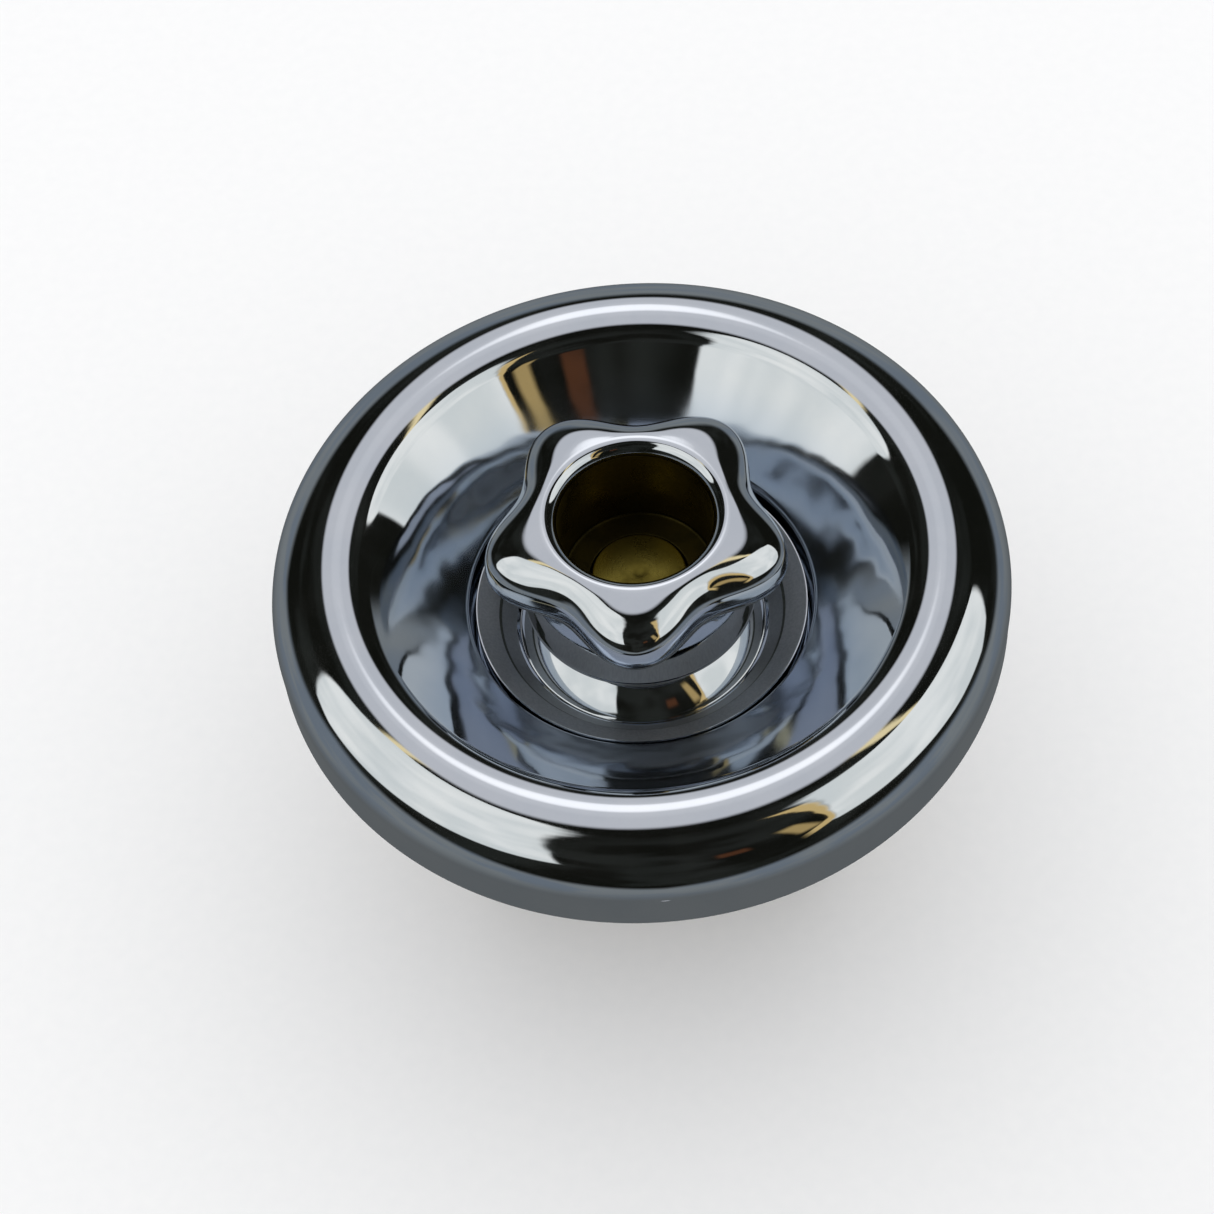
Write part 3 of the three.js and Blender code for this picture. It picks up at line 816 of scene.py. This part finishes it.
def make_valve_body():
    """Cast skin made by remeshing joined solids, then cut by the machined bores and faces."""
    barrel = loft("valve_body_casting", rounded([
        (0, -57.5, 0), (12.5, -57.5, 1.5), (14.8, -54.0, 3.0), (15.0, -40.0, 3.0), (14.0, -34.0, 3.0),
        (14.0, NECK_TOP + 1.0, 0), (0, NECK_TOP + 1.0, 0),
    ], 1.0, 6), 96)
    turn = along_x(PORT_Z)
    pieces = [
        loft("arms", [(0, -16.4), (12.2, -16.4), (12.2, 16.4), (0, 16.4)], 64, 0, axis_turn=turn),
        loft("arm_cores", [(0, -23.5), (9.4, -23.5), (9.4, 23.5), (0, 23.5)], 64, 0, axis_turn=turn),
    ]
    pad = bmesh.new()
    bmesh.ops.create_cube(pad, size=1.0)
    bmesh.ops.scale(pad, vec=(29.6 * MM, 29.6 * MM, 6.2 * MM), verts=pad.verts)
    bmesh.ops.translate(pad, vec=(0, 0, 3.0 * MM), verts=pad.verts)
    bmesh.ops.bevel(pad, geom=pad.edges, offset=1.6 * MM, segments=4, profile=0.5, affect="EDGES")
    pieces.append(mesh_object("pad", pad))
    for piece in pieces:
        boolean(barrel, piece, "UNION")
    remesh = barrel.modifiers.new("skin", "REMESH")
    remesh.mode = "VOXEL"
    remesh.voxel_size = 0.42 * MM
    smooth = barrel.modifiers.new("soften", "SMOOTH")
    smooth.factor = 0.6
    smooth.iterations = 9
    apply_modifiers(barrel)
    cutters = [
        loft("chamber", [
            (0, -51.0), (5.5, -50.2), (5.5, SEAT_TOP - 2.1), (7.9, SEAT_TOP - 2.1),
            (7.9, SEAT_TOP - 0.3), (10.5, SEAT_TOP - 0.3), (10.5, NECK_TOP - 0.8), (11.3, NECK_TOP),
            (11.3, NECK_TOP + 3), (0, NECK_TOP + 3),
        ], 96),
        loft("neck_face", [
            (0, NECK_TOP), (20, NECK_TOP), (20, NECK_TOP + 4), (0, NECK_TOP + 4),
        ], 48),
        loft("floor_face", [(0, -70), (40, -70), (40, -WALL_Z), (0, -WALL_Z)], 48),
        loft("inlet_bore", [
            (0, -30), (PIPE_BORE_R, -30), (PIPE_BORE_R, -12.4), (7.0, -12), (0, -12),
        ], 64, 0, axis_turn=turn),
        loft("outlet_bore", [
            (0, 12), (7.0, 12), (PIPE_BORE_R, 12.4), (PIPE_BORE_R, 30), (0, 30),
        ], 64, 0, axis_turn=turn),
        loft("under_seat", [(0, -13), (4, -13), (4, 2), (0, 2)], 40, 0, axis_turn=along_x(PORT_Z - 3.2)),
        loft("over_seat", [(0, 8), (4, 8), (4, 13), (0, 13)], 40, 0, axis_turn=along_x(PORT_Z + 6)),
    ]
    for cutter in cutters:
        boolean(barrel, cutter, "DIFFERENCE")
    for side in (-1, 1):
        start, end = (16.3, ARM_END) if side > 0 else (-ARM_END, -16.3)
        sleeve = [(8.6, start), *thread_rows(ARM_R, 0.6, start, end, PIPE_PITCH), (8.6, end)]
        boolean(barrel, loft("arm_thread", sleeve, 96, 0, axis_turn=turn), "UNION")
    for polygon in barrel.data.polygons:
        polygon.use_smooth = True
    barrel.data.set_sharp_from_angle(angle=math.radians(32))
    return barrel


def make_pipe_nut(name, side):
    low, high = NUT_START, NUT_END
    seat = ARM_END + 3.3
    hole = [(8.3, high), (7.8, high - 0.5), (7.8, seat + 0.6), (10.0, seat)]
    thread_depth = 0.55
    root_r = ARM_R + 0.3 + thread_depth
    hole += thread_rows(root_r, thread_depth, low + 0.4, seat - 0.3, PIPE_PITCH, inward=True)[::-1]
    hole += [(11.2, low)]
    rows = hex_rows(24.0, low, high, 7.8, hole_rows=hole)
    return loft(name, rows, 192, 0, axis_turn=along_x(PORT_Z, side))


def make_olive(name, side):
    low, high = ARM_END + 0.3, ARM_END + 3.0
    rows = rounded([
        (7.8, low, 0.1), (8.6, low, 0.2), (9.6, low + 0.95, 0.5),
        (9.6, high - 0.95, 0.5), (8.6, high, 0.2), (7.8, high, 0.1),
    ], 0.2, 4)
    return loft(name, rows, 96, 0, axis_turn=along_x(PORT_Z, side))


def make_seat_ring():
    rows = rounded([
        (5.0, -45.0), (7.6, -45.0), (7.6, SEAT_TOP, 0.3),
        (6.4, -43.6, 0.2), (5.7, SEAT_TOP, 0.25), (5.0, -43.6, 0.2),
    ], 0.15, 4)
    return loft("seat_ring_turned", rows, 96)


def make_flange_seal():
    rows = rounded([(49.0, 0), (53.0, 0), (53.0, 4.0), (49.0, 4.0)], 0.5, 4)
    return loft("flange_seal_foam", rows, 256)


PIECES = [
    (make_flange, "dish_flange", "valve", CHROME_SHEET, "chrome"),
    (make_flange_seal, "flange_seal", "valve", FOAM, "foam"),
    (make_collar, "retaining_collar", "valve", (CHROME, SATIN, SATIN_PAINTED_SHADE, STEP_PAINTED_SHADE), "chrome"),
    (make_carrier_sleeve, "carrier_sleeve", "valve", BRASS, "brass"),
    (make_handle, "star_handle", "spindle", (CHROME_CAST, BORE_BRASS_PAINTED_SHADE, BORE_FLOOR_PAINTED_SHADE), "chrome"),
    # the socket's end takes the bore's brass, darkened as painted shade
    (make_socket, "spline_socket", "spindle", BORE_BRASS_PAINTED_SHADE, "brass"),
    (make_snap_ring, "handle_snap_ring", "spindle", STEEL, "spring_steel"),
    (make_spindle, "spindle", "spindle", BRASS, "brass"),
    (make_jumper, "jumper_valve", "jumper", BRASS, "brass"),
    (make_jumper_washer, "jumper_washer", "jumper", RUBBER, "rubber"),
    (make_jumper_nut, "jumper_nut", "jumper", BRASS, "brass"),
    (make_gland_nut, "gland_nut", "valve", BRASS, "brass"),
    (make_gland_follower, "gland_follower", "valve", BRASS, "brass"),
    (make_gland_packing, "gland_packing", "valve", PACKING, "packing"),
    (make_bonnet, "bonnet", "valve", BRASS, "brass"),
    (make_bonnet_washer, "bonnet_washer", "valve", FIBRE, "fibre"),
    (make_seat_ring, "seat_ring", "valve", BRASS, "brass"),
    (make_valve_body, "valve_body", "valve", CAST_BRASS, "cast_brass"),
]
for make, node, body, material, slot in PIECES:
    place(make(), node, body, material)
for level, ring_z in O_RING_Z.items():
    ring = make_o_ring(f"spindle_o_ring_{level}_moulded", ring_z)
    place(ring, f"spindle_o_ring_{level}", "spindle", RUBBER)
for port, side in (("inlet", -1), ("outlet", 1)):
    place(make_pipe_nut(f"{port}_nut_hex", side), f"{port}_nut", "valve", BRASS)
    place(make_olive(f"{port}_olive_turned", side), f"{port}_olive", "valve", BRASS)


# ---- stage, light and camera ---------------------------------------------------------------
RIM_CENTRE = Vector((0, 0, WALL_Z * MM))
CAMERA_DISTANCE = 0.380                            # metres
CAMERA_ELEVATION = 56.0
CAMERA_ROLL = 4.6
CAMERA_AZIMUTH = 4.3
AIM_RIGHT = -0.01355                               # radians off the rim's centre, for the framing
AIM_UP = -0.00457
LENS_MM = 74.6


def make_camera():
    data = bpy.data.cameras.new("camera")
    data.lens = LENS_MM
    data.sensor_width = 36.0
    data.clip_start = 0.01
    camera = bpy.data.objects.new("camera", data)
    bpy.context.scene.collection.objects.link(camera)
    elevation = math.radians(CAMERA_ELEVATION)
    azimuth = math.radians(CAMERA_AZIMUTH)
    away = Vector((
        math.sin(azimuth) * math.cos(elevation),
        -math.cos(azimuth) * math.cos(elevation),
        math.sin(elevation),
    ))
    camera.location = RIM_CENTRE + away * CAMERA_DISTANCE
    look = (-away).to_track_quat("-Z", "Y")
    pan = Quaternion((0, 1, 0), -AIM_RIGHT) @ Quaternion((1, 0, 0), AIM_UP)
    roll = Quaternion((0, 0, 1), -math.radians(CAMERA_ROLL))
    camera.rotation_mode = "QUATERNION"
    camera.rotation_quaternion = look @ roll @ pan
    bpy.context.scene.camera = camera


def make_floor():
    bm = bmesh.new()
    bmesh.ops.create_grid(bm, x_segments=2, y_segments=2, size=3.0)
    floor = mesh_object("studio_floor", bm)
    floor.location.z = cad_bounds[0][2]

    def build(nodes, shader):
        speck = nodes.noise(400.0, 3.0)
        nodes.link(nodes.mix(speck, (0.86, 0.865, 0.87), (0.9, 0.9, 0.9)), shader.inputs["Base Color"])

    floor.data.materials.append(surface("floor_paper", build, Roughness=0.9))
    floor.visible_glossy = False


# The room that only mirror reflections see, as outlines in degrees: azimuth from straight away
# from the photo's camera towards the right, and elevation above the wall plane. The outlines were
# read off where the photo's own reflections come from, and rounded.
LEFT_PANEL_TOP = [
    (-180, 0), (-152, 40), (-143, 57), (-130, 68), (-115, 75), (-95, 80),
    (-70, 81), (-48, 79), (-40, 75), (-38, 0), (180, 0),
]
LEFT_PANEL_FOOT = [
    (-180, 90), (-153, 41), (-135, 36), (-105, 29), (-84, 24), (-76, 27),
    (-66, 39), (-55, 50), (-46, 59), (-40, 63), (180, 90),
]
RIGHT_PANEL_TOP = [
    (-180, 0), (52, 0), (53, 50), (57, 62), (62, 70), (70, 75),
    (85, 76), (103, 71), (117, 63), (127, 51), (132, 36), (180, 0),
]
RIGHT_PANEL_FOOT = [
    (-180, 90), (52, 45), (60, 36), (72, 22), (80, 17), (92, 19), (108, 26), (132, 33), (180, 90),
]
TABLE_EDGE = [
    (-180, -4), (-165, 1), (-135, 10), (-105, 17), (-90, 18), (-75, 13), (-55, 8), (-35, 15),
    (0, 18), (35, 15), (58, 4), (80, 7), (105, 13), (135, 7), (165, 0), (180, -4),
]
GOLD_LINE = [
    (-180, 40), (-60, 59), (-45, 61), (-25, 63), (20, 63), (35, 65), (48, 64), (62, 59), (180, 40),
]
# (azimuth from, to, softness, elevation from, to, softness); softness is a share of the whole range.
GOLD_STRIP = (135, 141.5, 0.004, 40, 57, 0.015)
BROWN_STRIP = (154.5, 164, 0.004, 45, 51, 0.012)
PANEL_WHITE = (0.88, 0.9, 0.88)
PANEL_SHADE = (0.7, 0.74, 0.735)
TENT_BLACK = (0.0055, 0.006, 0.0045)
TENT_HAZE = (0.016, 0.018, 0.016)
TABLE_GREY = (0.19, 0.21, 0.22)
TABLE_BLUE = (0.15, 0.18, 0.215)
TABLE_NEAR = (0.115, 0.125, 0.13)
SEAM_GOLD = (0.6, 0.44, 0.19)
SEAM_CREAM = (0.85, 0.72, 0.42)
STRIP_GOLD = (0.4, 0.29, 0.12)
STRIP_BROWN = (0.075, 0.03, 0.014)
LAMP_LAVENDER = (0.545, 0.565, 0.61)
LAMP_HALO = (0.6, 0.62, 0.665)
LAMP_CORE = (1.15, 1.17, 1.22)
PLAIN_LIGHT = (1.12, 1.12, 1.125)                  # what lights the matt surfaces
PLAIN_BACKDROP = (1.07, 1.07, 1.07)                # what the camera sees past the floor
LAMP_ELEVATION = 52.0
REPEATED_TINT = (0.53, 0.57, 0.62)                 # dims what arrives after two or more reflections
# Each layer of the softbox: (half width, half length, softness, centre along its length).
SOFTBOX = (0.27, 0.46, 0.3, 0.0)
SOFTBOX_HALO = (0.09, 0.2, 0.95, -0.06)
SOFTBOX_CORE = (0.06, 0.1, 0.95, -0.08)


def make_world():
    """Plain white light for the camera and matt surfaces; a painted room for mirror reflections.

    The room has a dark tent, a softbox, two white panels, a grey table, and gold and brown strips.
    """
    world = bpy.data.worlds.new("studio")
    bpy.context.scene.world = world
    world.use_nodes = True
    nodes = Nodes(world.node_tree)
    output = nodes.add("ShaderNodeOutputWorld")
    background = nodes.add("ShaderNodeBackground")
    split = nodes.add("ShaderNodeSeparateXYZ")
    turned = nodes.add("ShaderNodeVectorRotate", rotation_type="Z_AXIS")
    turned.inputs["Angle"].default_value = -math.radians(CAMERA_AZIMUTH)
    nodes.link(nodes.add("ShaderNodeTexCoord").outputs["Generated"], turned.inputs["Vector"])
    nodes.link(turned.outputs[0], split.inputs[0])
    x, y, z = split.outputs
    elevation = nodes.math("MULTIPLY_ADD", nodes.math("ARCSINE", z), 1 / math.pi, 0.5)
    azimuth = nodes.math("MULTIPLY_ADD", nodes.math("ARCTAN2", x, y), 1 / TURN, 0.5)

    def azimuth_share(degrees):
        return (degrees + 180) / 360

    def elevation_share(degrees):
        return (degrees + 90) / 180

    def edge(outline):
        """The outline's elevation at this azimuth."""
        return nodes.curve(azimuth, [(azimuth_share(az), elevation_share(el)) for az, el in outline])

    def above(outline, soft):
        height = nodes.math("SUBTRACT", elevation, edge(outline))
        return nodes.step(height, -soft / 180, soft / 180)

    def below(outline, soft):
        height = nodes.math("SUBTRACT", edge(outline), elevation)
        return nodes.step(height, -soft / 180, soft / 180)

    def between(value, low, high, soft):
        rise = nodes.step(value, low - soft, low + soft)
        return nodes.math("MULTIPLY", rise, nodes.step(value, high - soft, high + soft, 1.0, 0.0))

    def seam(outline, width, az_low, az_high):
        """A band of this width in degrees, upwards from an outline."""
        height = nodes.math("SUBTRACT", elevation, edge(outline))
        band = between(height, 0.0, width / 180, 0.8 / 180)
        part = between(azimuth, azimuth_share(az_low), azimuth_share(az_high), 0.008)
        return nodes.math("MULTIPLY", band, part)

    def strip(az_low, az_high, az_soft, el_low, el_high, el_soft):
        part = between(azimuth, azimuth_share(az_low), azimuth_share(az_high), az_soft)
        height = between(elevation, elevation_share(el_low), elevation_share(el_high), el_soft)
        return nodes.math("MULTIPLY", part, height)

    def panel_shape(top, foot):
        return nodes.math("MULTIPLY", below(top, 2.0), above(foot, 1.2))

    drift = nodes.noise(2.5, 2.0, 0.5, nodes.add("ShaderNodeTexCoord").outputs["Generated"])
    tent = nodes.mix(nodes.step(drift, 0.42, 0.65), TENT_BLACK, TENT_HAZE)
    table = nodes.mix(nodes.step(drift, 0.4, 0.62), TABLE_GREY, TABLE_BLUE)
    table = nodes.mix(nodes.step(elevation, 0.22, 0.46), TABLE_NEAR, table)
    panel = nodes.mix(nodes.step(drift, 0.35, 0.6), PANEL_WHITE, PANEL_SHADE)
    left = panel_shape(LEFT_PANEL_TOP, LEFT_PANEL_FOOT)
    right = panel_shape(RIGHT_PANEL_TOP, RIGHT_PANEL_FOOT)
    colour = nodes.mix(below(TABLE_EDGE, 5.0), tent, table)
    colour = nodes.mix(seam(RIGHT_PANEL_TOP, 6.0, 98, 141), colour, SEAM_GOLD)
    colour = nodes.mix(strip(*GOLD_STRIP), colour, STRIP_GOLD)
    colour = nodes.mix(strip(*BROWN_STRIP), colour, STRIP_BROWN)
    colour = nodes.mix(seam(GOLD_LINE, 2.4, -56, -22), colour, SEAM_CREAM)
    colour = nodes.mix(seam(GOLD_LINE, 2.8, 22, 60), colour, SEAM_CREAM)
    colour = nodes.mix(nodes.math("MAXIMUM", left, right), colour, panel)

    # The softbox is an ellipse in the plane across its own direction.
    tilt = math.radians(LAMP_ELEVATION)
    sine = math.sin(tilt)
    cosine = math.cos(tilt)
    facing = nodes.math("ADD", nodes.math("MULTIPLY", y, cosine), nodes.math("MULTIPLY", z, sine))
    facing = nodes.math("MAXIMUM", facing, 0.05)
    across = nodes.math("DIVIDE", x, facing)
    along = nodes.math("SUBTRACT", nodes.math("MULTIPLY", z, cosine), nodes.math("MULTIPLY", y, sine))
    along = nodes.math("DIVIDE", along, facing)

    def lamp(half_across, half_along, soft, centre):
        def share(offset, half):
            return nodes.math("POWER", nodes.math("ABSOLUTE", nodes.math("DIVIDE", offset, half)), 2.6)

        sideways = share(across, half_across)
        lengthways = share(nodes.math("SUBTRACT", along, centre), half_along)
        return nodes.step(nodes.math("ADD", sideways, lengthways), 1.0 - soft, 1.0 + soft, 1.0, 0.0)

    colour = nodes.mix(lamp(*SOFTBOX), colour, LAMP_LAVENDER)
    colour = nodes.mix(lamp(*SOFTBOX_HALO), colour, LAMP_HALO)
    colour = nodes.mix(lamp(*SOFTBOX_CORE), colour, LAMP_CORE)
    path = nodes.add("ShaderNodeLightPath")
    repeated = nodes.step(path.outputs["Glossy Depth"], 1.4, 1.6)
    colour = nodes.tint(repeated, colour, REPEATED_TINT)
    plain = nodes.mix(path.outputs["Is Camera Ray"], PLAIN_LIGHT, PLAIN_BACKDROP)
    nodes.link(nodes.mix(path.outputs["Is Glossy Ray"], plain, colour), background.inputs["Color"])
    world.node_tree.links.new(background.outputs[0], output.inputs["Surface"])


make_camera()
make_floor()
make_world()

# ---- colours -------------------------------------------------------------------------------
scene = bpy.context.scene
scene.view_settings.view_transform = "Standard"
scene.view_settings.look = "None"
